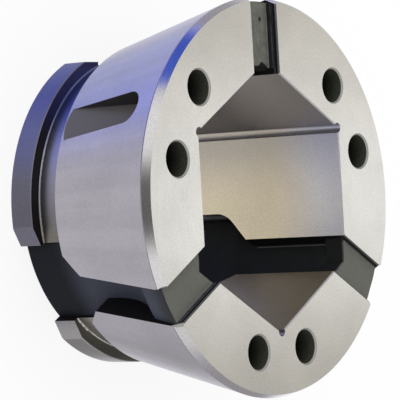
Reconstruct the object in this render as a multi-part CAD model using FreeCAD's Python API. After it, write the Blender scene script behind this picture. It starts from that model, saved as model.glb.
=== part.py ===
import FreeCAD, Part
import math
import os

# A quick-change collet: three hardened jaws cut from one ring with a hexagonal bore,
# bonded together by three rubber webs in the slots between them.
# Millimetres. +Z runs along the bore from the rear flange to the front face,
# and Z = 0 is the rear face of the flange, on the bore's axis.

# Bore
bore_across_flats = 57.15
corner_relief_radius = 1.25
corner_relief_inset = 0.2
bore_mouth_break = 0.3

# Outside of the ring, from the rear to the front
collet_length = 50.5
flange_radius = 39.7
flange_thickness = 6.45
flange_flat_distance = 36.15
neck_radius = 36.6
neck_length = 8.2
neck_fillet = 0.5
cone_rear_radius = 40.4
cone_front_radius = 48.95
front_bevel_length = 2.2
front_bevel_height = 0.8
rim_break = 0.2

# Slots between the jaws, narrow at the front and flared to a wide slot at the rear
slot_width = 10.1
wide_slot_width = 22.0
narrow_slot_length = 30.9
flare_angle = 45.0
flare_corner_radius = 7.0
slot_edge_break = 0.25
corner_facet_radial = 0.8
corner_facet_side = 0.6
corner_facet_length = 3.2

# Blind holes in the front face for the pins of the changing tool
pin_hole_radius = 4.23
pin_hole_depth = 18.0
pin_hole_pitch_radius = 38.48
pin_hole_half_angle = 14.57
pin_hole_break = 0.35
drill_point_angle = 118.0

# Locating groove in the cone of one jaw, with a round front end and a flat floor
groove_width = 8.5
groove_floor_distance = 40.6
groove_setback = 7.9

# Rubber webs: a thin curved wall with a thick block at its front end
web_outer_radius = 35.6
web_wall = 2.6
web_waist_wall = 1.4
web_rear_recess = 0.4
web_waist_rear = 15.0
web_waist_front = 21.0
web_sweep_start = 22.0
block_rear_setback = 9.9
block_rear_recess = 1.45
block_front_recess = 0.75
block_inner_setback = 6.4
block_inner_slope = 0.8
web_corner_clearance = 0.3
web_front_recess = {"back": 2.7, "front_left": 2.0, "front_right": 1.5}
web_bore_clearance = {"back": 0.8, "front_left": 0.1, "front_right": 1.4}

# Places around the axis, in degrees from +X
jaw_angle = {"front": 270.0, "back_left": 150.0, "back_right": 30.0}
slot_angle = {"back": 90.0, "front_left": 210.0, "front_right": 330.0}
grooved_jaw = "back_left"

# Worked out from the sizes above
Z_AXIS = FreeCAD.Vector(0, 0, 1)
ORIGIN = FreeCAD.Vector(0, 0, 0)
full_turn_angle = 360.0
hex_step_angle = 60.0
hex_start_angle = 30.0
overrun = 5.0
tolerance = 1e-6
neck_front = flange_thickness + neck_length
bevel_start = collet_length - front_bevel_length
face_radius = cone_front_radius - front_bevel_height
cone_taper = (cone_front_radius - cone_rear_radius) / (bevel_start - neck_front)
outer_reach = cone_front_radius + overrun
slot_inner_reach = bore_across_flats / 2 - 2 * overrun
flare_front = collet_length - narrow_slot_length
flare_rear = flare_front - (wide_slot_width - slot_width) / 2 / math.tan(math.radians(flare_angle))
web_inner_radius = web_outer_radius - web_wall
web_waist_radius = web_outer_radius - web_waist_wall


def point(x, y, z):
    return FreeCAD.Vector(x, y, z)


def polar(radius, degrees, z=0.0):
    turn = math.radians(degrees)
    return point(radius * math.cos(turn), radius * math.sin(turn), z)


def line(start, end):
    return Part.LineSegment(start, end).toShape()


def arc(start, middle, end):
    return Part.Arc(start, middle, end).toShape()


def turned(shape, degrees):
    """A copy turned about the bore's axis."""
    copy = shape.copy()
    copy.rotate(ORIGIN, Z_AXIS, degrees)
    return copy


def revolved(edges):
    """A solid of revolution about the bore's axis from a closed outline in the XZ plane."""
    face = Part.Face(Part.Wire(edges))
    return face.revolve(ORIGIN, Z_AXIS, full_turn_angle)


def outline_edges(corners):
    closed = corners + corners[:1]
    return [line(a, b) for a, b in zip(closed, closed[1:])]


def hexagon(across_flats, z):
    corner_radius = across_flats / 2 / math.cos(math.radians(hex_step_angle / 2))
    sides = round(full_turn_angle / hex_step_angle)
    corners = [polar(corner_radius, hex_start_angle + hex_step_angle * i, z) for i in range(sides)]
    return Part.makePolygon(corners + corners[:1])


def hex_prism(across_flats, low, high):
    face = Part.Face(hexagon(across_flats, low))
    return face.extrude(point(0, 0, high - low))


def cone_radius(z):
    """Radius of the outside cone at a height."""
    return cone_rear_radius + cone_taper * (z - neck_front)


# Steel ring

def ring_body():
    """The turned blank: flange, neck, cone and front bevel, still without its bore."""
    corners = [
        point(0, 0, 0),
        point(flange_radius - rim_break, 0, 0),
        point(flange_radius, 0, rim_break),
        point(flange_radius, 0, flange_thickness - rim_break),
        point(flange_radius - rim_break, 0, flange_thickness),
        point(neck_radius, 0, flange_thickness),
        point(neck_radius, 0, neck_front),
        point(cone_rear_radius - rim_break, 0, neck_front),
        point(cone_radius(neck_front + rim_break), 0, neck_front + rim_break),
        point(cone_front_radius, 0, bevel_start),
        point(face_radius, 0, collet_length),
        point(0, 0, collet_length),
    ]
    blank = revolved(outline_edges(corners))
    roots = []
    for edge in blank.Edges:
        centre = edge.BoundBox.Center
        at_root = min(abs(centre.z - flange_thickness), abs(centre.z - neck_front)) < tolerance
        on_neck = abs(edge.BoundBox.XMax - neck_radius) < tolerance
        if at_root and on_neck and edge.BoundBox.ZLength < tolerance:
            roots.append(edge)
    return blank.makeFillet(neck_fillet, roots)


def bore_cutter():
    """The hexagonal bore with a small break at both mouths and a round relief in each jaw's corner."""
    cutter = hex_prism(bore_across_flats, -overrun, collet_length + overrun)
    wide = bore_across_flats + 2 * bore_mouth_break
    for mouth, inside in ((0.0, bore_mouth_break), (collet_length, collet_length - bore_mouth_break)):
        flare = Part.makeLoft([hexagon(wide, mouth), hexagon(bore_across_flats, inside)], True, True)
        cutter = cutter.fuse(flare)
    corner_radius = bore_across_flats / 2 / math.cos(math.radians(hex_step_angle / 2))
    for degrees in jaw_angle.values():
        centre = polar(corner_radius - corner_relief_inset, degrees, -overrun)
        length = collet_length + 2 * overrun
        cutter = cutter.fuse(Part.makeCylinder(corner_relief_radius, length, centre, Z_AXIS))
    return cutter


def slot_outline(corner_radius, low, high, break_at_top):
    """Half of the slot's outline as (side, height) pairs from the rear up, with the arc's middle."""
    narrow = slot_width / 2
    wide = wide_slot_width / 2
    half_turn = math.radians(flare_angle / 2)
    tangent = corner_radius * math.tan(half_turn)
    middle = (
        wide - corner_radius * (1 - math.cos(half_turn)),
        flare_rear - tangent + corner_radius * math.sin(half_turn),
    )
    arc_end = (
        wide - tangent * math.sin(2 * half_turn),
        flare_rear + tangent * math.cos(2 * half_turn),
    )
    return {
        "rear": (wide, low),
        "arc_start": (wide, flare_rear - tangent),
        "arc_middle": middle,
        "arc_end": arc_end,
        "flare_front": (narrow, flare_front),
        "front_wall": (narrow, high - break_at_top),
        "front": (narrow + break_at_top, high),
    }


def slot_prism(corner_radius, low, high, break_at_top, top):
    """The slot's outline as a bar along +X, from inside the bore to outside the ring."""
    half = slot_outline(corner_radius, low, high, break_at_top)

    def at(name, side):
        across, height = half[name]
        return point(slot_inner_reach, side * across, height)

    edges = []
    for side in (1, -1):
        edges.append(line(at("rear", side), at("arc_start", side)))
        edges.append(arc(at("arc_start", side), at("arc_middle", side), at("arc_end", side)))
        edges.append(line(at("arc_end", side), at("flare_front", side)))
        edges.append(line(at("flare_front", side), at("front_wall", side)))
        last = at("front_wall", side)
        for name_point in (at("front", side), point(slot_inner_reach, at("front", side).y, top)):
            if (name_point - last).Length > tolerance:
                edges.append(line(last, name_point))
                last = name_point
    across_top = slot_width / 2 + break_at_top
    edges.append(line(at("rear", 1), at("rear", -1)))
    edges.append(line(point(slot_inner_reach, across_top, top), point(slot_inner_reach, -across_top, top)))
    face = Part.Face(Part.Wire(Part.__sortEdges__(edges)))
    return face.extrude(point(outer_reach - slot_inner_reach, 0, 0))


def flange_flat():
    """The block that trims the flange flat across one slot."""
    length = outer_reach - flange_flat_distance
    corner = point(flange_flat_distance, -flange_radius, -overrun)
    return Part.makeBox(length, 2 * flange_radius, overrun + flange_thickness, corner)


def corner_facets():
    """Wedges that break the two outer front corners that a slot leaves, beside the slot along +X."""
    wedges = []
    edge = slot_width / 2
    back = collet_length - corner_facet_length
    far = edge + corner_facet_side
    face_x = math.sqrt(face_radius ** 2 - edge ** 2) - corner_facet_radial
    rim_x = math.sqrt(face_radius ** 2 - far ** 2)
    cone_x = math.sqrt(cone_radius(back) ** 2 - edge ** 2)
    for side in (1, -1):
        corners = [
            point(face_x, side * edge, collet_length),
            point(rim_x, side * far, collet_length),
            point(cone_x, side * edge, back),
        ]
        middle = (corners[0] + corners[1] + corners[2]) / 3
        spread = [middle + (corner - middle) * 2 for corner in corners]
        across = (corners[1] - corners[0]).cross(corners[2] - corners[0])
        outward = across.normalize() * (slot_width / 2)
        if outward.x < 0:
            outward = -outward
        face = Part.Face(Part.makePolygon(spread + spread[:1]))
        wedges.append(face.extrude(outward))
    return wedges


def pin_hole():
    """One blind hole with a drill point and a broken mouth, on the bore's axis at the front face."""
    point_depth = pin_hole_radius / math.tan(math.radians(drill_point_angle / 2))
    bottom = collet_length - pin_hole_depth
    mouth = pin_hole_radius + pin_hole_break
    corners = [
        point(0, 0, bottom - point_depth),
        point(pin_hole_radius, 0, bottom),
        point(pin_hole_radius, 0, collet_length - pin_hole_break),
        point(mouth, 0, collet_length),
        point(mouth, 0, collet_length + overrun),
        point(0, 0, collet_length + overrun),
    ]
    return revolved(outline_edges(corners))


def groove_cutter():
    """The locating groove along +X: straight from the rear, round at the front."""
    radius = groove_width / 2
    end = collet_length - groove_setback - radius
    depth = outer_reach - groove_floor_distance
    corner = point(groove_floor_distance, -radius, -overrun)
    straight = Part.makeBox(depth, groove_width, end + overrun, corner)
    along_x = point(1, 0, 0)
    round_end = Part.makeCylinder(radius, depth, point(groove_floor_distance, 0, end), along_x)
    return straight.fuse(round_end)


def make_jaws():
    """Cut the ring into its three jaws and finish each one."""
    ring = ring_body().cut(bore_cutter())
    slot = slot_prism(flare_corner_radius, -overrun, collet_length, slot_edge_break, collet_length + overrun)
    for degrees in slot_angle.values():
        for cutter in [flange_flat(), slot] + corner_facets():
            ring = ring.cut(turned(cutter, degrees))
    hole = pin_hole()
    for degrees in jaw_angle.values():
        for side in (-1, 1):
            moved = hole.copy()
            moved.translate(polar(pin_hole_pitch_radius, degrees + side * pin_hole_half_angle))
            ring = ring.cut(moved)
    ring = ring.cut(turned(groove_cutter(), jaw_angle[grooved_jaw]))
    jaws = {}
    for name, degrees in jaw_angle.items():
        toward = polar(1, degrees)
        jaws[name] = max(ring.Solids, key=lambda solid: solid.CenterOfMass.dot(toward))
    return jaws


# Rubber webs

def web_profile(front):
    """Outline of a web in the XZ plane: a thin wall that swells into the block at the front."""
    block_rear = collet_length - block_rear_setback
    block_corner = cone_radius(block_rear) - block_rear_recess
    block_front = cone_radius(min(front, bevel_start)) - block_front_recess
    rise = block_rear - web_sweep_start
    swell = block_corner - web_outer_radius
    sweep_radius = (rise ** 2 + swell ** 2) / (2 * swell)
    half_turn = math.asin(rise / sweep_radius) / 2
    sweep_middle = point(
        web_outer_radius + sweep_radius * (1 - math.cos(half_turn)),
        0,
        web_sweep_start + sweep_radius * math.sin(half_turn),
    )
    bore_side = bore_across_flats / 2
    inner_rear = collet_length - block_inner_setback
    corners = [
        point(block_corner, 0, block_rear),
        point(block_front, 0, front),
        point(bore_side, 0, front),
        point(bore_side, 0, inner_rear),
        point(web_waist_radius, 0, inner_rear - block_inner_slope),
        point(web_waist_radius, 0, web_waist_front),
        point(web_inner_radius, 0, web_waist_rear),
        point(web_inner_radius, 0, web_rear_recess),
        point(web_outer_radius, 0, web_rear_recess),
        point(web_outer_radius, 0, web_sweep_start),
    ]
    edges = [line(a, b) for a, b in zip(corners, corners[1:])]
    edges.append(arc(corners[-1], sweep_middle, corners[0]))
    return edges


def make_web(name):
    """One web: the revolved profile trimmed to its slot, with the bore's corner shape inside."""
    front = collet_length - web_front_recess[name]
    extra = web_corner_clearance / (1 / math.cos(math.radians(flare_angle / 2)) - 1)
    space = slot_prism(flare_corner_radius + extra, web_rear_recess, front, 0.0, front)
    web = turned(revolved(web_profile(front)).common(space), slot_angle[name])
    step = collet_length - block_inner_setback - block_inner_slope
    return web.cut(hex_prism(bore_across_flats + 2 * web_bore_clearance[name], step, collet_length))


def export(name, shape):
    solids = shape.Solids
    solid = solids[0] if len(solids) == 1 else Part.makeCompound(solids)
    solid.exportStep("parts/" + name + ".step")
    print(name, "solids", len(solids), "valid", shape.isValid(), "volume", round(shape.Volume, 1))


def main():
    os.makedirs("parts", exist_ok=True)
    for name, jaw in make_jaws().items():
        export("jaw_" + name, jaw)
    for name in slot_angle:
        export("web_" + name, make_web(name))


main()
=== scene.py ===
import math

import bmesh
import bpy
from mathutils import Matrix, Vector


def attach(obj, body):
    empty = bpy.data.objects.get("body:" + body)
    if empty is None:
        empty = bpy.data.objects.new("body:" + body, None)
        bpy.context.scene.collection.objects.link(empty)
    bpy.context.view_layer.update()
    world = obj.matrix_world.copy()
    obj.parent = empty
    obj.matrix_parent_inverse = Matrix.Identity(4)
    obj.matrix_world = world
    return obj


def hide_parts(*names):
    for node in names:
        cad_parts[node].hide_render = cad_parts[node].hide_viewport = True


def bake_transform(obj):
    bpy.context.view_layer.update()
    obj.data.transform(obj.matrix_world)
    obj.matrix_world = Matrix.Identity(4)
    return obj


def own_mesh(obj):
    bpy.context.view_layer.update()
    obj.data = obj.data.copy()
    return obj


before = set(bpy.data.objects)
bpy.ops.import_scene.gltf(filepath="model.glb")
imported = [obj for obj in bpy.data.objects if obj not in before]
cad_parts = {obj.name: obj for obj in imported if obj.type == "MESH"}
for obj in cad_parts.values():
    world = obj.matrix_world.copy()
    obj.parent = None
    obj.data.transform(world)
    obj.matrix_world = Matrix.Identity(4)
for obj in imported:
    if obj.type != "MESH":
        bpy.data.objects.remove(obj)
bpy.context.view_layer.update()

# Lengths below are in millimetres, as in the part's drawing, and MM turns them into metres.
MM = 0.001

# Steel ring
BORE_ACROSS_FLATS = 57.15
COLLET_LENGTH = 50.5
NECK_FRONT = 14.65
CONE_REAR_RADIUS = 40.4
CONE_TAPER = 0.2541
PIN_PITCH_RADIUS = 38.48
PIN_HALF_ANGLE = 14.57
PIN_RADIUS = 4.23
JAWS = ("jaw_front", "jaw_back_left", "jaw_back_right")
JAW_ANGLE = 30.0
GROOVE_ANGLE = 150.0
SECTOR_HALF_ANGLE = 60.0
HEX_HALF_ANGLE = 30.0

# Slots
SLOT_ANGLES = {"back": 90.0, "front_left": 210.0, "front_right": 330.0}
SLOT_WIDTH = 10.1
WIDE_SLOT_WIDTH = 22.0
NARROW_SLOT_LENGTH = 30.9
FLARE_FRONT = COLLET_LENGTH - NARROW_SLOT_LENGTH
FLARE_ANGLE = 45.0
WEB_CORNER_RADIUS = 10.64

# Rubber webs
WEB_INNER_RADIUS = 33.0
WEB_WAIST_RADIUS = 34.2
WEB_OUTER_RADIUS = 35.9
WEB_REAR = 0.4
WEB_WAIST_REAR = 15.0
WEB_WAIST_FRONT = 21.0
WEB_SWEEP_START = 22.0
BLOCK_REAR = 40.6
BLOCK_OUTER_RADIUS = 45.54
BLOCK_STEP_REAR = 43.3
BLOCK_STEP_FRONT = 44.1
WEB_FRONT = {"back": 47.8, "front_left": 48.5, "front_right": 49.0}
WEB_FRONT_RADIUS = {"back": 48.07, "front_left": 48.2, "front_right": 48.2}
BORE_CLEARANCE = {"back": 0.8, "front_left": 0.1, "front_right": 1.4}
EDGE_RADIUS = 0.25
WING_SIGN = {"left": 1.0, "right": -1.0}

# Relief on the front faces of the webs
SWELL_RISE = 0.05
SWELL_WAVE = 0.9
LIP_WIDTH = 0.35
LIP_RISE = {"back": 1.5, "front_left": 0.6, "front_right": 0.7}
DIP_WIDTH = 2 * LIP_WIDTH
DIP_DEPTH = 0.12
FILLET_WIDTH = 0.9
PIT_PLACE = (43.65, -2.0)
PIT_SIZE = (0.9, 0.55, 0.5)
PIT_FALL = 1.5

# The torn inner end of the back web, as places across the slot and their distance from the axis
TORN_DEPTH = 1.4
TORN_END = (
    (-5.05, 31.4), (-2.9, 32.4), (-1.6, 33.1), (-1.2, 33.0),
    (-0.7, 32.2), (2.0, 32.2), (5.05, 32.0),
)

# Points of the web meshes: rows as lowest, highest and number, and columns by their distance
# from a slot wall, in lip widths
WIDE_ROWS = (WEB_REAR, 8.7, 6)
CORNER_ROWS = (9.6, 16.8, 9)
FLARE_ROWS = (17.7, FLARE_FRONT, 3)
SWEEP_ROWS = (23.5, 40.0, 12)
BLOCK_ROWS = (BLOCK_REAR, 41.2, 42.2, BLOCK_STEP_REAR, 43.7, BLOCK_STEP_FRONT, 45.0)
ROWS_BEHIND_FRONT = (TORN_DEPTH, 0.7, EDGE_RADIUS)
WALL_COLUMNS = (0.0, 0.08, 0.25, 0.5, 0.8, 1.0, 1.4, 2.0, 2.6)
MIDDLE_COLUMNS = 29
WING_COLUMNS = 8
FRONT_FACE_POINTS = 56
WELD = 0.001
SHARP_ANGLE = 35.0

# Camera, at the photograph's viewing angle
CAMERA_PLACE = (-574.45, 2.75, 472.1)
CAMERA_FORWARD = (0.79086, -0.00344, -0.61199)
CAMERA_UP = (0.03775, 0.99835, 0.04318)
CAMERA_LENS = 263.1
CAMERA_SENSOR = 36.0
CAMERA_NEAR = 10.0

# Lamps: name, place, the point that each aims at, width and watts
LAMPS = (
    ("key", (-500.0, 420.0, 620.0), (0.0, 0.0, 30.0), 1100.0, 2.6),
    ("face", (316.0, 0.0, 294.0), (0.0, 0.0, 50.0), 120.0, 0.05),
)

# What the steel reflects: light from below and above the horizon, and patches over it. Each patch
# has the way to it from the part, the angles off that way where it starts and where it is full,
# and its light.
STUDIO_HORIZON = (-0.7, 0.3)
STUDIO_BELOW = (0.86, 0.84, 0.86, 1.0)
STUDIO_ABOVE = (1.0, 0.99, 0.97, 1.0)
STUDIO_PATCHES = (
    ((-0.55, 0.46, 0.68), 46.0, 30.0, (0.22, 0.22, 0.22)),
    ((-0.97, 0.0, -0.2), 42.0, 10.0, (0.52, 0.50, 0.48)),
    ((-1.0, 0.0, 0.02), 22.0, 8.0, (0.18, 0.18, 0.18)),
    ((-0.78, 0.62, 0.02), 20.0, 8.0, (1.15, 1.14, 1.12)),
    ((-0.78, -0.62, 0.02), 20.0, 8.0, (1.15, 1.14, 1.12)),
    ((0.55, -0.8, -0.28), 50.0, 20.0, (0.45, 0.43, 0.45)),
    ((0.5, 0.85, -0.1), 40.0, 20.0, (0.6, 0.58, 0.62)),
    ((0.1, 0.78, -0.62), 38.0, 15.0, (0.42, 0.5, 1.5)),
    ((0.3, 0.45, -0.84), 22.0, 5.0, (0.68, 0.72, 1.0)),
    ((-0.45, 0.58, -0.66), 21.0, 8.0, (0.7, 0.76, 1.45)),
    ((0.5, 0.82, -0.27), 22.0, 8.0, (0.5, 0.48, 0.52)),
    ((-0.15, 0.98, -0.13), 24.0, 12.0, (0.08, 0.15, 0.75)),
    ((0.79, 0.0, 0.61), 40.0, 20.0, (0.64, 0.63, 0.62)),
    ((0.85, -0.05, -0.52), 32.0, 14.0, (1.1, 1.1, 1.15)),
)
WHITE = (1.0, 1.0, 1.0, 1.0)

# Floor, with its half width in metres and how much of its own white the camera sees
FLOOR_HALF_WIDTH = 4.0
FLOOR_COLOUR = (0.85, 0.85, 0.85, 1.0)
FLOOR_GLOW = 0.85


# Small helpers

def srgb(red, green, blue):
    """A colour written as 0 to 255, as linear RGBA."""
    def linear(value):
        value /= 255
        return value / 12.92 if value <= 0.04045 else ((value + 0.055) / 1.055) ** 2.4
    return (linear(red), linear(green), linear(blue), 1.0)


def spread(low, high, count):
    """Evenly spaced numbers from low to high."""
    return [low + (high - low) * index / (count - 1) for index in range(count)]


class Nodes:
    """Short calls for building one node tree."""

    def __init__(self, tree):
        self.tree = tree
        tree.nodes.clear()

    def add(self, kind, **values):
        node = self.tree.nodes.new(kind)
        for name, value in values.items():
            setattr(node, name, value)
        return node

    def link(self, value, socket):
        """Joins a socket to an input, or writes a plain value into it."""
        if isinstance(value, bpy.types.NodeSocket):
            self.tree.links.new(value, socket)
        else:
            socket.default_value = value

    def math(self, operation, *values):
        node = self.add("ShaderNodeMath", operation=operation)
        for value, socket in zip(values, node.inputs):
            self.link(value, socket)
        return node.outputs[0]

    def vector(self, operation, *values, output=0):
        node = self.add("ShaderNodeVectorMath", operation=operation)
        for value, socket in zip(values, node.inputs):
            self.link(value, socket)
        return node.outputs[output]

    def length(self, x, y):
        return self.vector("LENGTH", self.combine(x, y, 0.0), output=1)

    def combine(self, x, y, z):
        node = self.add("ShaderNodeCombineXYZ")
        for value, socket in zip((x, y, z), node.inputs):
            self.link(value, socket)
        return node.outputs[0]

    def split(self, vector):
        node = self.add("ShaderNodeSeparateXYZ")
        self.link(vector, node.inputs[0])
        return node.outputs[0], node.outputs[1], node.outputs[2]

    def every(self, first, *others):
        """Masks times one another."""
        for other in others:
            first = self.math("MULTIPLY", first, other)
        return first

    def either(self, first, *others):
        """The highest of some masks."""
        for other in others:
            first = self.math("MAXIMUM", first, other)
        return first

    def ramp(self, value, low, high, to_low=0.0, to_high=1.0):
        """A smooth step of a value from low to high."""
        node = self.add("ShaderNodeMapRange", interpolation_type="SMOOTHSTEP")
        for item, socket in zip((value, low, high, to_low, to_high), node.inputs):
            self.link(item, socket)
        return node.outputs[0]

    def band(self, value, low, high, soft):
        """1 between low and high, falling off to 0 over a soft edge at each end."""
        rise = self.ramp(value, low - soft, low + soft)
        fall = self.ramp(value, high - soft, high + soft, 1.0, 0.0)
        return self.math("MULTIPLY", rise, fall)

    def blend(self, factor, a, b):
        """A number between a and b."""
        node = self.add("ShaderNodeMix", data_type="FLOAT")
        for value, index in ((factor, 0), (a, 2), (b, 3)):
            self.link(value, node.inputs[index])
        return node.outputs[0]

    def mix(self, factor, a, b, kind="MIX"):
        """A colour between a and b."""
        node = self.add("ShaderNodeMix", data_type="RGBA", blend_type=kind)
        for value, index in ((factor, 0), (a, 6), (b, 7)):
            self.link(value, node.inputs[index])
        return node.outputs[2]

    def fade(self, value, limits, a, b):
        """A colour that passes from a to b while a value goes from one limit to the other."""
        return self.mix(self.ramp(value, *limits), a, b)

    def tint(self, colour, share):
        """A colour times a number."""
        return self.mix(1.0, colour, share, "MULTIPLY")

    def noise(self, vector, scale, detail, roughness, stretch=None):
        if stretch:
            vector = self.vector("MULTIPLY", vector, stretch)
        node = self.add("ShaderNodeTexNoise")
        self.link(vector, node.inputs["Vector"])
        self.link(scale, node.inputs["Scale"])
        self.link(detail, node.inputs["Detail"])
        self.link(roughness, node.inputs["Roughness"])
        return node.outputs["Fac"]

    def background(self, colour):
        node = self.add("ShaderNodeBackground")
        self.link(colour, node.inputs["Color"])
        return node.outputs[0]

    def shader_mix(self, factor, a, b):
        node = self.add("ShaderNodeMixShader")
        for value, socket in zip((factor, a, b), node.inputs):
            self.link(value, socket)
        return node.outputs[0]

    def close(self, kind, shader):
        """Ends the tree with its output node."""
        self.link(shader, self.add(kind).inputs["Surface"])


class Surface(Nodes):
    """A material whose nodes know the place on the part, in millimetres, and the way it faces."""

    def __init__(self, name):
        self.material = bpy.data.materials.new(name)
        self.material.use_nodes = True
        super().__init__(self.material.node_tree)
        coordinates = self.add("ShaderNodeTexCoord").outputs
        self.place = self.vector("MULTIPLY", coordinates["Object"], (1 / MM, 1 / MM, 1 / MM))
        x, self.y, self.z = self.split(self.place)
        self.radius = self.length(x, self.y)
        self.angle = self.math("DEGREES", self.math("ARCTAN2", self.y, x))
        self.facing_x, _, self.facing_front = self.split(coordinates["Normal"])
        outward = self.vector("NORMALIZE", self.combine(x, self.y, 0.0))
        self.facing_out = self.vector("DOT_PRODUCT", coordinates["Normal"], outward, output=1)

    def from_way(self, way):
        """Degrees around the axis to the nearest of three ways, of which one is given."""
        turned = self.math("SUBTRACT", self.angle, way)
        turned = self.math("WRAP", turned, SECTOR_HALF_ANGLE, -SECTOR_HALF_ANGLE)
        return self.math("ABSOLUTE", turned)

    def masks(self, zones, **measures):
        """The share of each zone, from 0 to 1, by name."""
        measures.update(z=self.z, radius=self.radius, front=self.facing_front, out=self.facing_out)

        def share(name, *limits):
            test = self.band if len(limits) == 3 else self.ramp
            return test(measures[name], *limits)

        return {
            zone: self.every(*(share(*test) for test in tests))
            for zone, tests in zones.items()
        }

    def finish(self, colour, metallic, roughness, height, depth, specular):
        """Closes the tree with one principled shader. Depth is the height's relief, in millimetres."""
        shader = self.add("ShaderNodeBsdfPrincipled")
        self.link(colour, shader.inputs["Base Color"])
        self.link(metallic, shader.inputs["Metallic"])
        self.link(roughness, shader.inputs["Roughness"])
        shader.inputs["Specular IOR Level"].default_value = specular
        bump = self.add("ShaderNodeBump")
        bump.inputs["Strength"].default_value = 1.0
        bump.inputs["Distance"].default_value = depth * MM
        self.link(height, bump.inputs["Height"])
        self.link(bump.outputs[0], shader.inputs["Normal"])
        self.close("ShaderNodeOutputMaterial", shader.outputs[0])
        return self.material


# Materials
#
# A zone is where one finish shows. It holds where all its tests do, and each test has a measure
# and its limits: two numbers are a ramp from none to full, and a third makes them a band with
# that soft edge. The measures z and radius are places. The measures front and out say how
# squarely the surface faces the front or away from the axis. A fade is the stretch over which
# one tone passes into another. Many tones of the steel are painted light: they follow the
# photograph's light by place on the part, as painted reflections and painted shade, because
# bare metal takes its colour from what is around it. The grey front faces and the outside walls
# of the rubber are painted sheen and painted light too. A noise has its scale, detail and
# roughness, and how the place is stretched for it.

NOISE_RANGE = (0.3, 0.7)

# Zones of the steel. Most of them carry painted light: painted reflections and painted shade set by
# place.
IN_GROOVE = (("groove_side", 4.4, 4.3), ("z", 14.7, 43.0, 0.05))
BEHIND_CONE = (("z", 15.0, 14.4), ("radius", 34.0, 35.5))
STEEL_ZONES = {
    "face": (("z", 50.2, 50.45), ("front", 0.85, 0.97)),
    "cone": (("out", 0.8, 0.9), ("z", 14.6, 15.1)),
    "bevel": (("front", 0.2, 0.5, 0.05), ("radius", 47.5, 47.9)),
    "line": (("out", 0.8, 0.9), ("z", 47.95, 48.2, 0.08)),
    "corner": (
        ("out", 0.4, 0.86, 0.03), ("front", 0.55, 0.45), ("radius", 46.2, 46.6), ("z", 46.6, 47.0),
    ),
    "rear": BEHIND_CONE,
    "neck": (*BEHIND_CONE, ("radius", 37.6, 37.4)),
    "cavity": (
        ("z", 6.3, 14.8, 0.05), ("radius", 36.0, 36.6), ("radius", 39.75, 39.65),
        ("level", 0.75, 0.95),
    ),
    "bore": (("out", -0.6, -0.75), ("radius", 36.0, 34.5), ("front", 0.5, 0.3)),
    "upright": (("facing_x", 0.6, 0.8),),
    "slot_wall": (("out", -0.5, 0.5, 0.04), ("front", -0.8, 0.8, 0.04), ("from_jaw", 38.0, 40.0)),
    "hole": (("from_pin", PIN_RADIUS + 0.12, PIN_RADIUS + 0.02), ("z", 28.0, 50.2, 0.1)),
    "mouth": (
        ("from_pin", PIN_RADIUS + 0.45, PIN_RADIUS + 0.3), ("z", 50.0, 50.1), ("front", 0.95, 0.85),
    ),
    "groove_floor": (*IN_GROOVE, ("groove_out", 40.5, 40.7, 0.04)),
    "groove_wall": (*IN_GROOVE, ("groove_out", 40.6, 40.8), ("below_cone", 0.03, 0.1)),
    # A painted highlight stripe on the slot walls.
    "slot_wall_painted_highlight": (("z", 49.12, 49.32, 0.1),),
}
# Stretches of the fades. All but the turning and the slot walls' front edge move painted light:
# painted shade, painted reflections and paler painted light low down.
STEEL_FADES = {
    "face_high_painted_shade": (8.0, 44.0),
    "face_low_painted_shade": (-10.0, -44.0),
    "turning": (0.35, 0.65),
    "line": (-5.0, 12.0),
    "low": (-22.0, -32.0),
    "neck": (-10.0, 8.0),
    "neck_high_painted_reflection": (10.0, 26.0),
    "cavity_high_painted_reflection": (16.0, 30.0),
    "above_axis": (-3.0, 3.0),
    "upright_depth": (28.0, 49.0),
    "upright_rear": (-2.0, 16.0),
    "upright_front": (-6.0, 16.0),
    "slot_wall_front_edge": (49.95, 50.1),
    "hole_depth": (43.0, 50.0),
}
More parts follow.
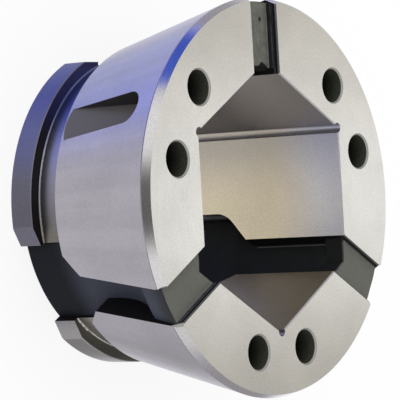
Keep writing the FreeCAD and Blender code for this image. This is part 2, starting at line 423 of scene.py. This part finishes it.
# Where the bore's slanted flats start and stop changing towards the front, and their painted
# shade, each below and above the axis
SLANTED_REAR = (8.0, 20.0)
SLANTED_FRONT = (50.0, 47.0)
SLANTED_SHADE = (1.02, 0.67)
STEEL = {
    "plain": srgb(178, 176, 180),
    "face": srgb(211, 210, 205),
    # Painted shade: the face darkens towards its top and bottom.
    "face_high_painted_shade": srgb(199, 196, 189),
    "face_low_painted_shade": srgb(189, 186, 179),
    "cone_dark": srgb(176, 174, 181),
    "cone_light": srgb(183, 181, 188),
    "bevel": srgb(202, 201, 203),
    # Painted reflection: the line at the cone's front edge is darker, and blue above the axis.
    "line": srgb(146, 144, 144),
    "line_high_painted_reflection": srgb(96, 92, 128),
    # Painted shade and light: the rear is darker, and paler low down.
    "rear": srgb(112, 112, 124),
    "rear_low_painted_light": srgb(160, 158, 158),
    # Painted reflections on the neck: warm, lilac across the middle, blue high up, pale low down.
    "neck": srgb(128, 125, 116),
    "neck_middle_painted_reflection": srgb(156, 156, 172),
    "neck_high_painted_reflection": srgb(97, 104, 141),
    "neck_low_painted_light": srgb(205, 202, 198),
    # Painted shade in the cavity behind the cone, with a blue painted reflection high up and paler
    # painted light low down.
    "cavity": srgb(56, 53, 52),
    "cavity_high_painted_reflection": srgb(92, 92, 142),
    "cavity_low_painted_light": srgb(108, 106, 100),
    # Painted reflections and shade on the bore's flats: each flat is toned by place, by depth and by
    # side of the axis.
    "below_rear": srgb(145, 134, 92),
    "below_front": srgb(174, 163, 128),
    "above_rear": srgb(124, 121, 124),
    "above_front": srgb(250, 247, 255),
    "upright_rear": srgb(241, 230, 200),
    "upright_rear_high": srgb(206, 200, 188),
    "upright_front": srgb(238, 240, 248),
    "upright_front_high": srgb(212, 217, 240),
    # The slot walls: near black, with a painted highlight stripe, and lighter towards the front edge.
    "slot_wall_tone": srgb(7, 7, 9),
    "slot_wall_painted_highlight": srgb(78, 82, 96),
    "slot_wall_front_edge": srgb(78, 78, 80),
    # Painted reflection: a plain tone on the slots' corner facets, lilac above the axis.
    "corner": srgb(146, 142, 140),
    "corner_high_painted_reflection": srgb(160, 159, 180),
    # Painted shade: the pin holes are dark, lighter towards the front.
    "hole": srgb(16, 16, 13),
    "hole_front_painted_light": srgb(58, 60, 50),
    "mouth": srgb(168, 167, 164),
    # Painted shade in the groove: a darker floor and wall.
    "groove_floor": srgb(90, 88, 87),
    "groove_wall": srgb(98, 96, 102),
}
STEEL_NOISES = {
    "fine": (2.2, 4.0, 0.65),
    "broad": (0.06, 3.0, 0.5),
    "rings": (4.0, 3.0, 0.6, (0.02, 0.6, 1.0)),
    "strokes": (1.6, 3.0, 0.6, (2.0, 2.0, 0.12)),
    "turning": (1.5, 2.0, 0.5, (0.12, 0.01, 1.0)),
}
# How much the noises darken and lighten a colour
STEEL_SPECKLE = (0.91, 1.07)
STEEL_CLOUD = (0.95, 1.04)
HOLE_GRAIN = (0.7, 1.3)
# Roughness of the plain steel, of its finishes in the order that they go on, and of the zones that go
# on last
STEEL_ROUGHNESS = 0.3
METAL_ROUGHNESS = ((("face",), 0.36), (("rear",), 0.34), (("bevel",), 0.16), (("bore",), 0.4))
LAST_ROUGHNESS = (
    (("hole", "slot_wall"), 0.85),
    (("cavity", "groove_floor", "groove_wall"), 0.45),
    (("mouth", "corner"), 0.6),
)
RING_ROUGHNESS = 0.03
GROOVE_NOT_METAL = 0.7
STEEL_RELIEF = 0.004
STEEL_SPECULAR = 0.2

RUBBER_ZONES = {
    # Zones of the rubber. Most carry painted light: sheen on the front faces, light on the outside
    # walls, a highlight along the inner edge, and shade along the slot walls, at the rim and in the
    # pit.
    "front_sheen": (("front", 0.45, 0.92), ("z", 46.5, 47.0)),
    "outside": (("out", 0.3, 0.5),),
    "painted_shade": (("across", 4.7, 4.95),),
    "rim": (("radius", 47.7, 47.9),),
    "pit": (("from_pit", 0.35, 0.6, 0.12),),
    "painted_edge_highlight": (("across", 4.45, 4.75, 0.1), ("z", 21.0, 43.0, 0.3), ("out", -0.6, -0.8)),
    "streak": (("streaks", 0.35, 0.6), ("z", 48.7, 49.0, 0.12)),
}
RUBBER_NOISES = {
    "fine": (1.6, 4.0, 0.6),
    "broad": (0.12, 2.0, 0.5),
    "blotches": (0.5, 3.0, 0.6),
    "scrapes": (1.2, 3.0, 0.6, (2.5, 0.25, 0.0)),
    "streaks": (1.5, 3.0, 0.6, (1.0, 0.3, 1.0)),
}
# Where the painted light on the outside walls changes, and where the back web starts.
RUBBER_FADES = {"wall": (8.0, 17.0), "wall_front": (42.5, 48.0), "back_web": (30.0, 35.0)}
RUBBER = {
    "dark": srgb(22, 23, 23),
    "light": srgb(27, 29, 28),
    # Painted highlight along the edge of the inner face by the slot wall.
    "painted_edge_highlight": srgb(84, 86, 87),
    # Painted light on the outside walls: darker at the rear, blue-grey further on, darker at the
    # front.
    "wall_rear_painted_shade": srgb(20, 24, 31),
    "wall": srgb(62, 65, 78),
    "wall_front": srgb(45, 47, 52),
    # Painted sheen: the grey of the front faces, darker and lighter with the scrapes.
    "front_sheen_dark": srgb(91, 91, 86),
    "front_sheen_light": srgb(103, 103, 97),
    # Painted shade along the slot walls, at the rim and in the pit.
    "painted_shade": srgb(34, 35, 33),
    "streak": srgb(58, 61, 66),
}
RUBBER_SPECKLE = (0.94, 1.06)
# The scraping on the other webs, and how much the blotches darken and lighten the back web's painted
# grey sheen
SCRAPES_ELSEWHERE = 0.3
BACK_BLOTCHES = (0.82, 1.12)
RUBBER_ROUGHNESS = 0.7
RUBBER_RELIEF = 0.02
RUBBER_SPECULAR = 0.15


def steel_masks(s):
    """Where each finish of the steel shows."""
    from_jaw = s.from_way(JAW_ANGLE)
    turn = s.math("RADIANS", from_jaw)
    pin = math.radians(PIN_HALF_ANGLE)
    along = s.math("MULTIPLY", s.radius, s.math("COSINE", turn))
    across = s.math("MULTIPLY", s.radius, s.math("SINE", turn))
    from_pin = s.length(
        s.math("SUBTRACT", along, PIN_PITCH_RADIUS * math.cos(pin)),
        s.math("SUBTRACT", across, PIN_PITCH_RADIUS * math.sin(pin)),
    )
    way = math.radians(GROOVE_ANGLE)
    outward = (math.cos(way), math.sin(way), 0.0)
    sideways = (-math.sin(way), math.cos(way), 0.0)
    cone_start = CONE_REAR_RADIUS - NECK_FRONT * CONE_TAPER
    cone_radius = s.math("MULTIPLY_ADD", s.z, CONE_TAPER, cone_start)
    return s.masks(
        STEEL_ZONES,
        level=s.math("ABSOLUTE", s.facing_front),
        facing_x=s.math("ABSOLUTE", s.facing_x),
        from_jaw=from_jaw,
        from_pin=from_pin,
        groove_out=s.vector("DOT_PRODUCT", s.place, outward, output=1),
        groove_side=s.math("ABSOLUTE", s.vector("DOT_PRODUCT", s.place, sideways, output=1)),
        below_cone=s.math("SUBTRACT", cone_radius, s.radius),
    )


def bore_colour(s, mask):
    """Painted reflections and shade on the bore's wire-cut flats: two upright, four slanted, darker at
    the rear.
    """
    above = s.ramp(s.y, *STEEL_FADES["above_axis"])
    slanted = s.fade(
        s.z,
        (s.blend(above, *SLANTED_REAR), s.blend(above, *SLANTED_FRONT)),
        s.mix(above, STEEL["below_rear"], STEEL["above_rear"]),
        s.mix(above, STEEL["below_front"], STEEL["above_front"]),
    )
    # Painted shade: the slanted flats are dimmed above the axis.
    slanted = s.tint(slanted, s.blend(above, *SLANTED_SHADE))
    rear, front = (
        s.fade(s.y, STEEL_FADES[end], STEEL[end], STEEL[end + "_high"])
        for end in ("upright_rear", "upright_front")
    )
    upright = s.fade(s.z, STEEL_FADES["upright_depth"], rear, front)
    return s.mix(mask["upright"], slanted, upright)


def steel_material():
    """Hardened steel: ground face, turned cone, rear in painted shade, wire-cut bore, near-black slot
    walls.
    """
    s = Surface("hardened_steel")
    mask = steel_masks(s)
    low = s.ramp(s.y, *STEEL_FADES["low"])
    above = s.ramp(s.y, *STEEL_FADES["above_axis"])

    fine = s.noise(s.place, *STEEL_NOISES["fine"])
    broad = s.noise(s.place, *STEEL_NOISES["broad"])
    rings = s.noise(s.combine(s.angle, s.radius, s.z), *STEEL_NOISES["rings"])
    strokes = s.noise(s.place, *STEEL_NOISES["strokes"])
    turning = s.noise(s.combine(s.angle, s.z, 0.0), *STEEL_NOISES["turning"])

    # Painted shade: the face darkens towards its top and bottom.
    face = s.fade(s.y, STEEL_FADES["face_high_painted_shade"], STEEL["face"], STEEL["face_high_painted_shade"])
    face = s.fade(s.y, STEEL_FADES["face_low_painted_shade"], face, STEEL["face_low_painted_shade"])
    # Painted reflections on the neck, by height.
    neck = s.fade(s.y, STEEL_FADES["neck"], STEEL["neck"], STEEL["neck_middle_painted_reflection"])
    neck = s.fade(s.y, STEEL_FADES["neck_high_painted_reflection"], neck, STEEL["neck_high_painted_reflection"])
    # Painted shade in the cavity, with a blue painted reflection high up.
    cavity = s.fade(s.y, STEEL_FADES["cavity_high_painted_reflection"], STEEL["cavity"], STEEL["cavity_high_painted_reflection"])
    metal_tones = {
        "face": face,
        "cone": s.fade(turning, STEEL_FADES["turning"], STEEL["cone_dark"], STEEL["cone_light"]),
        "bevel": STEEL["bevel"],
        # Painted reflection on the line at the cone's front edge.
        "line": s.fade(s.y, STEEL_FADES["line"], STEEL["line"], STEEL["line_high_painted_reflection"]),
        # Painted shade on the rear, with paler painted light low down.
        "rear": s.mix(low, STEEL["rear"], STEEL["rear_low_painted_light"]),
        # Paler painted light low on the neck.
        "neck": s.mix(low, neck, STEEL["neck_low_painted_light"]),
        # Paler painted light low in the cavity.
        "cavity": s.mix(low, cavity, STEEL["cavity_low_painted_light"]),
        "bore": bore_colour(s, mask),
    }
    # Near-black slot walls with a painted highlight stripe.
    slot_wall_tone = s.mix(mask["slot_wall_painted_highlight"], STEEL["slot_wall_tone"], STEEL["slot_wall_painted_highlight"])
    # Painted shade in the pin holes, darker deeper in.
    hole = s.fade(s.z, STEEL_FADES["hole_depth"], STEEL["hole"], STEEL["hole_front_painted_light"])
    last_tones = {
        "slot_wall": s.fade(s.z, STEEL_FADES["slot_wall_front_edge"], slot_wall_tone, STEEL["slot_wall_front_edge"]),
        # Painted reflection on the slots' corner facets.
        "corner": s.mix(above, STEEL["corner"], STEEL["corner_high_painted_reflection"]),
        "hole": s.tint(hole, s.ramp(fine, *NOISE_RANGE, *HOLE_GRAIN)),
        "mouth": STEEL["mouth"],
        # Painted shade in the groove.
        "groove_floor": STEEL["groove_floor"],
        "groove_wall": STEEL["groove_wall"],
    }
    colour = STEEL["plain"]
    for zone, tone in metal_tones.items():
        colour = s.mix(mask[zone], colour, tone)
    speckle = s.ramp(fine, *NOISE_RANGE, *STEEL_SPECKLE)
    cloud = s.ramp(broad, *NOISE_RANGE, *STEEL_CLOUD)
    colour = s.tint(colour, s.every(speckle, cloud))
    for zone, tone in last_tones.items():
        colour = s.mix(mask[zone], colour, tone)

    roughness = STEEL_ROUGHNESS
    for zones, value in METAL_ROUGHNESS:
        roughness = s.blend(s.either(*(mask[zone] for zone in zones)), roughness, value)
    ringed = s.ramp(rings, *NOISE_RANGE, -RING_ROUGHNESS, RING_ROUGHNESS)
    roughness = s.math("ADD", roughness, ringed)
    for zones, value in LAST_ROUGHNESS:
        roughness = s.blend(s.either(*(mask[zone] for zone in zones)), roughness, value)
    groove = s.math("MULTIPLY", mask["groove_floor"], GROOVE_NOT_METAL)
    not_metal = s.either(mask["slot_wall"], mask["hole"], groove, mask["corner"])
    metallic = s.math("SUBTRACT", 1.0, not_metal)
    relief = s.blend(mask["bore"], s.blend(mask["face"], rings, fine), strokes)
    return s.finish(colour, metallic, roughness, relief, STEEL_RELIEF, STEEL_SPECULAR)


def rubber_material():
    """Moulded black rubber: painted grey sheen on the front faces, painted light on the walls outside,
    dark elsewhere.
    """
    s = Surface("bonded_rubber")
    turn = s.math("RADIANS", s.from_way(SLOT_ANGLES["back"]))
    pit_place = (-PIT_PLACE[1], PIT_PLACE[0], WEB_FRONT["back"])
    mask = s.masks(
        RUBBER_ZONES,
        across=s.math("MULTIPLY", s.radius, s.math("SINE", turn)),
        from_pit=s.vector("DISTANCE", s.place, pit_place, output=1),
        streaks=s.noise(s.place, *RUBBER_NOISES["streaks"]),
    )
    fine = s.noise(s.place, *RUBBER_NOISES["fine"])
    broad = s.noise(s.place, *RUBBER_NOISES["broad"])
    blotches = s.ramp(s.noise(s.place, *RUBBER_NOISES["blotches"]), *NOISE_RANGE)
    scrapes = s.ramp(s.noise(s.place, *RUBBER_NOISES["scrapes"]), *NOISE_RANGE)
    back_web = s.ramp(s.y, *RUBBER_FADES["back_web"])

    # The grey of the front faces is painted sheen, scraped and blotched.
    scraped = s.every(scrapes, s.blend(back_web, SCRAPES_ELSEWHERE, 1.0))
    front_sheen = s.mix(scraped, RUBBER["front_sheen_dark"], RUBBER["front_sheen_light"])
    front_sheen = s.tint(front_sheen, s.blend(back_web, 1.0, s.blend(blotches, *BACK_BLOTCHES)))
    # Painted shade along the slot walls, at the rim and in the pit.
    front_sheen = s.mix(s.either(mask["painted_shade"], mask["rim"], mask["pit"]), front_sheen, RUBBER["painted_shade"])
    # Painted light on the outside walls, by height.
    wall = s.fade(s.z, RUBBER_FADES["wall"], RUBBER["wall_rear_painted_shade"], RUBBER["wall"])
    wall = s.fade(s.z, RUBBER_FADES["wall_front"], wall, RUBBER["wall_front"])
    colour = s.fade(broad, NOISE_RANGE, RUBBER["dark"], RUBBER["light"])
    tones = {"painted_edge_highlight": RUBBER["painted_edge_highlight"], "outside": wall, "streak": RUBBER["streak"], "front_sheen": front_sheen}
    for zone, tone in tones.items():
        colour = s.mix(mask[zone], colour, tone)
    colour = s.tint(colour, s.ramp(fine, *NOISE_RANGE, *RUBBER_SPECKLE))
    return s.finish(colour, 0.0, RUBBER_ROUGHNESS, fine, RUBBER_RELIEF, RUBBER_SPECULAR)


# Steel jaws

def steel_jaws():
    """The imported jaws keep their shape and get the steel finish."""
    material = steel_material()
    for name in JAWS:
        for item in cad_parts[name].material_slots:
            item.material = material


# Rubber webs

def half_width(z):
    """Half of the slot's width at a height, with the rounded corner of its flare."""
    narrow, wide = SLOT_WIDTH / 2, WIDE_SLOT_WIDTH / 2
    flare_rear = FLARE_FRONT - (wide - narrow)
    turn = math.radians(FLARE_ANGLE)
    tangent = WEB_CORNER_RADIUS * math.tan(turn / 2)
    if z >= FLARE_FRONT:
        return narrow
    if z >= flare_rear + tangent * math.cos(turn):
        return narrow + FLARE_FRONT - z
    if z > flare_rear - tangent:
        rise = z - (flare_rear - tangent)
        return wide - WEB_CORNER_RADIUS + math.sqrt(WEB_CORNER_RADIUS ** 2 - rise ** 2)
    return wide


def between(value, points):
    """A height read off a line through the given points."""
    for (x0, y0), (x1, y1) in zip(points, points[1:]):
        if value <= x1:
            share = min(max((value - x0) / (x1 - x0), 0.0), 1.0)
            return y0 + share * (y1 - y0)
    return points[-1][1]


def outer_distance(name, across, z):
    """How far a web's outside is from the axis: a round wall, a sweep and the block's cone."""
    radius = WEB_OUTER_RADIUS
    if z >= BLOCK_REAR:
        front = (WEB_FRONT[name], WEB_FRONT_RADIUS[name])
        radius = between(z, ((BLOCK_REAR, BLOCK_OUTER_RADIUS), front))
    elif z > WEB_SWEEP_START:
        rise = BLOCK_REAR - WEB_SWEEP_START
        swell = BLOCK_OUTER_RADIUS - WEB_OUTER_RADIUS
        sweep = (rise ** 2 + swell ** 2) / (2 * swell)
        radius += sweep - math.sqrt(sweep ** 2 - (z - WEB_SWEEP_START) ** 2)
    return math.sqrt(radius ** 2 - across ** 2)


def inner_distance(name, across, z):
    """How far a web's inside is from the axis: a round wall, then the corner of the bore."""
    wall = between(z, ((WEB_WAIST_REAR, WEB_INNER_RADIUS), (WEB_WAIST_FRONT, WEB_WAIST_RADIUS)))
    if z <= BLOCK_STEP_REAR:
        return math.sqrt(wall ** 2 - across ** 2)
    if name == "back" and z > WEB_FRONT[name] - TORN_DEPTH:
        return between(across, TORN_END)
    flat = BORE_ACROSS_FLATS / 2
    turn = math.radians(HEX_HALF_ANGLE)
    notch = (flat + BORE_CLEARANCE[name]) / math.cos(turn) - math.tan(turn) * abs(across)
    step = between(z, ((BLOCK_STEP_REAR, wall), (BLOCK_STEP_FRONT, flat)))
    return max(notch, math.sqrt(step ** 2 - across ** 2))


def front_lift(name, distance, across):
    """Relief on a web's front face: a swell, and at each wall a lip on the back web, or a fillet."""
    edge = SLOT_WIDTH / 2 - abs(across)
    lift = SWELL_RISE * math.sin(SWELL_WAVE * distance + across) * min(edge, 1.0)
    if name != "back":
        return lift + LIP_RISE[name] * max(1 - edge / FILLET_WIDTH, 0.0) ** 3
    if edge < LIP_WIDTH:
        lift += LIP_RISE[name] * math.sqrt(1 - edge / LIP_WIDTH)
    elif edge < LIP_WIDTH + DIP_WIDTH:
        lift -= DIP_DEPTH * math.sin(math.pi * (edge - LIP_WIDTH) / DIP_WIDTH)
    long, wide, deep = PIT_SIZE
    away = ((distance - PIT_PLACE[0]) / long) ** 2 + ((across - PIT_PLACE[1]) / wide) ** 2
    return lift - deep * math.exp(-PIT_FALL * away)


def web_rows(name):
    """Heights of a web's rows of points: those that its wings share, and the rest."""
    rear = spread(*WIDE_ROWS) + spread(*CORNER_ROWS) + spread(*FLARE_ROWS)
    front = [WEB_FRONT[name] - below for below in ROWS_BEHIND_FRONT]
    return rear, [WEB_WAIST_FRONT, WEB_SWEEP_START, *spread(*SWEEP_ROWS), *BLOCK_ROWS, *front]


def web_columns():
    """Places across the narrow slot, closer together at its walls."""
    side = SLOT_WIDTH / 2
    wall = [side - LIP_WIDTH * share for share in WALL_COLUMNS]
    inset = side - LIP_WIDTH - DIP_WIDTH
    return [-place for place in wall] + spread(-inset, inset, MIDDLE_COLUMNS) + wall[::-1]


def web_part(build, name, part, joined):
    """Adds a web's middle, or a wing beside its rear. Joined parts are open to each other."""
    side = SLOT_WIDTH / 2
    front = WEB_FRONT[name]
    middle = part == "middle"
    rear, rest = web_rows(name)
    rows = rear + rest if middle else rear
    turn = math.radians(SLOT_ANGLES[name])
    outward = Vector((math.cos(turn), math.sin(turn), 0.0))
    sideways = Vector((-math.sin(turn), math.cos(turn), 0.0))

    def vertex(distance, across, z):
        place = outward * distance + sideways * across + Vector((0.0, 0.0, z))
        return build.verts.new(place * MM)

    loops = []
    for place in web_columns() if middle else spread(0.0, WING_SIGN[part], WING_COLUMNS):
        outside, inside, ends = [], [], []
        for z in rows:
            across = place
            if not middle:
                across = math.copysign(side, WING_SIGN[part]) + place * (half_width(z) - side)
            outside.append(vertex(outer_distance(name, across, z), across, z))
            inside.append(vertex(inner_distance(name, across, z), across, z))
        if middle:
            start = outer_distance(name, place, front) - EDGE_RADIUS
            finish = inner_distance(name, place, front) + EDGE_RADIUS
            for distance in spread(start, finish, FRONT_FACE_POINTS):
                ends.append(vertex(distance, place, front + front_lift(name, distance, place)))
        loops.append((outside, ends, inside))

    for first, second in zip(loops, loops[1:]):
        one, other = (outside + ends + inside[::-1] for outside, ends, inside in (first, second))
        for index, corner in enumerate(one):
            after = (index + 1) % len(one)
            build.faces.new((corner, one[after], other[after], other[index]))
    open_rows = len(rear) - 1 if joined else 0
    sides = ((loops[0], open_rows), (loops[-1], open_rows if middle else 0))
    for (outside, ends, inside), first_row in sides:
        for index in range(first_row, len(rows) - 1):
            build.faces.new((outside[index], outside[index + 1], inside[index + 1], inside[index]))
        if ends:
            build.faces.new((outside[-1], *ends, inside[-1]))


def web_piece(piece_name, name, parts, material):
    """One rubber piece: parts of a web that move together, welded where they meet."""
    build = bmesh.new()
    for part in parts:
        web_part(build, name, part, len(parts) > 1)
    bmesh.ops.remove_doubles(build, verts=build.verts, dist=WELD * MM)
    bmesh.ops.triangulate(build, faces=[item for item in build.faces if len(item.verts) > 4])
    bmesh.ops.recalc_face_normals(build, faces=build.faces)
    mesh = bpy.data.meshes.new(piece_name)
    build.to_mesh(mesh)
    build.free()
    mesh.shade_smooth()
    mesh.set_sharp_from_angle(angle=math.radians(SHARP_ANGLE))
    mesh.materials.append(material)
    piece = bpy.data.objects.new(piece_name, mesh)
    bpy.context.scene.collection.objects.link(piece)
    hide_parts("web_" + name)
    return piece


def rubber_webs():
    """Front webs are built in place. The back web's middle rides on the back left jaw, its wings on
    their jaws.
    """
    material = rubber_material()
    front_webs = (("front_left", "back_left_jaw", 1), ("front_right", "back_right_jaw", -1))
    for name, body, sign in front_webs:
        piece = web_piece("rubber_" + name, name, ("middle", "left", "right"), material)
        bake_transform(piece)
    middle = web_piece("rubber_back", "back", ("middle",), material)
    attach(middle, "back_left_jaw")
    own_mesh(middle)
    for part, body in (("left", "back_left_jaw"), ("right", "back_right_jaw")):
        wing = web_piece("rubber_back_wing_" + part, "back", (part,), material)
        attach(wing, body)


# Studio

def look(place, forward, up):
    """The matrix of a camera or lamp at a place, looking forward."""
    back = -Vector(forward).normalized()
    right = Vector(up).cross(back).normalized()
    rotation = Matrix((right, back.cross(right), back)).transposed()
    return Matrix.Translation(Vector(place) * MM) @ rotation.to_4x4()


def add_camera():
    data = bpy.data.cameras.new("camera")
    data.lens = CAMERA_LENS
    data.sensor_width = CAMERA_SENSOR
    data.clip_start = CAMERA_NEAR * MM
    camera = bpy.data.objects.new("camera", data)
    camera.matrix_world = look(CAMERA_PLACE, CAMERA_FORWARD, CAMERA_UP)
    bpy.context.scene.collection.objects.link(camera)
    bpy.context.scene.camera = camera


def add_lamp(name, place, aim, width, watts):
    data = bpy.data.lights.new(name, "AREA")
    data.shape = "DISK"
    data.size = width * MM
    data.energy = watts
    lamp = bpy.data.objects.new(name, data)
    lamp.matrix_world = look(place, Vector(aim) - Vector(place), (0.0, 0.0, 1.0))
    bpy.context.scene.collection.objects.link(lamp)


def add_world():
    """White to the camera, plain light on the part, and patches of light in reflections only."""
    world = bpy.data.worlds.new("studio")
    world.use_nodes = True
    bpy.context.scene.world = world
    n = Nodes(world.node_tree)
    direction = n.add("ShaderNodeTexCoord").outputs["Generated"]
    _, _, up = n.split(direction)
    studio = n.fade(up, STUDIO_HORIZON, STUDIO_BELOW, STUDIO_ABOVE)
    for way, outer, inner, light in STUDIO_PATCHES:
        towards = n.vector("DOT_PRODUCT", direction, Vector(way).normalized(), output=1)
        limits = (math.cos(math.radians(outer)), math.cos(math.radians(inner)))
        studio = n.fade(towards, limits, studio, (*light, 1.0))
    rays = n.add("ShaderNodeLightPath").outputs
    lit = n.shader_mix(rays["Is Glossy Ray"], n.background(WHITE), n.background(studio))
    seen = n.either(rays["Is Camera Ray"], rays["Is Transmission Ray"])
    n.close("ShaderNodeOutputWorld", n.shader_mix(seen, lit, n.background(WHITE)))


def floor_material():
    """Pale floor: near white to the camera, with the part's shadow, and clear in reflections."""
    material = bpy.data.materials.new("floor")
    material.use_nodes = True
    n = Nodes(material.node_tree)
    rays = n.add("ShaderNodeLightPath").outputs
    matt = n.add("ShaderNodeBsdfDiffuse")
    matt.inputs["Color"].default_value = FLOOR_COLOUR
    glow = n.add("ShaderNodeEmission")
    clear = n.add("ShaderNodeBsdfTransparent")
    share = n.math("MULTIPLY", rays["Is Camera Ray"], FLOOR_GLOW)
    pale = n.shader_mix(share, matt.outputs[0], glow.outputs[0])
    n.close("ShaderNodeOutputMaterial", n.shader_mix(rays["Is Glossy Ray"], pale, clear.outputs[0]))
    return material


def add_floor():
    half = FLOOR_HALF_WIDTH
    mesh = bpy.data.meshes.new("floor")
    corners = [(-half, -half, 0.0), (half, -half, 0.0), (half, half, 0.0), (-half, half, 0.0)]
    mesh.from_pydata(corners, [], [(0, 1, 2, 3)])
    mesh.materials.append(floor_material())
    floor = bpy.data.objects.new("floor", mesh)
    bpy.context.scene.collection.objects.link(floor)


def main():
    bpy.context.scene.view_settings.view_transform = "Standard"
    steel_jaws()
    rubber_webs()
    add_camera()
    add_world()
    add_floor()
    for lamp in LAMPS:
        add_lamp(*lamp)


main()
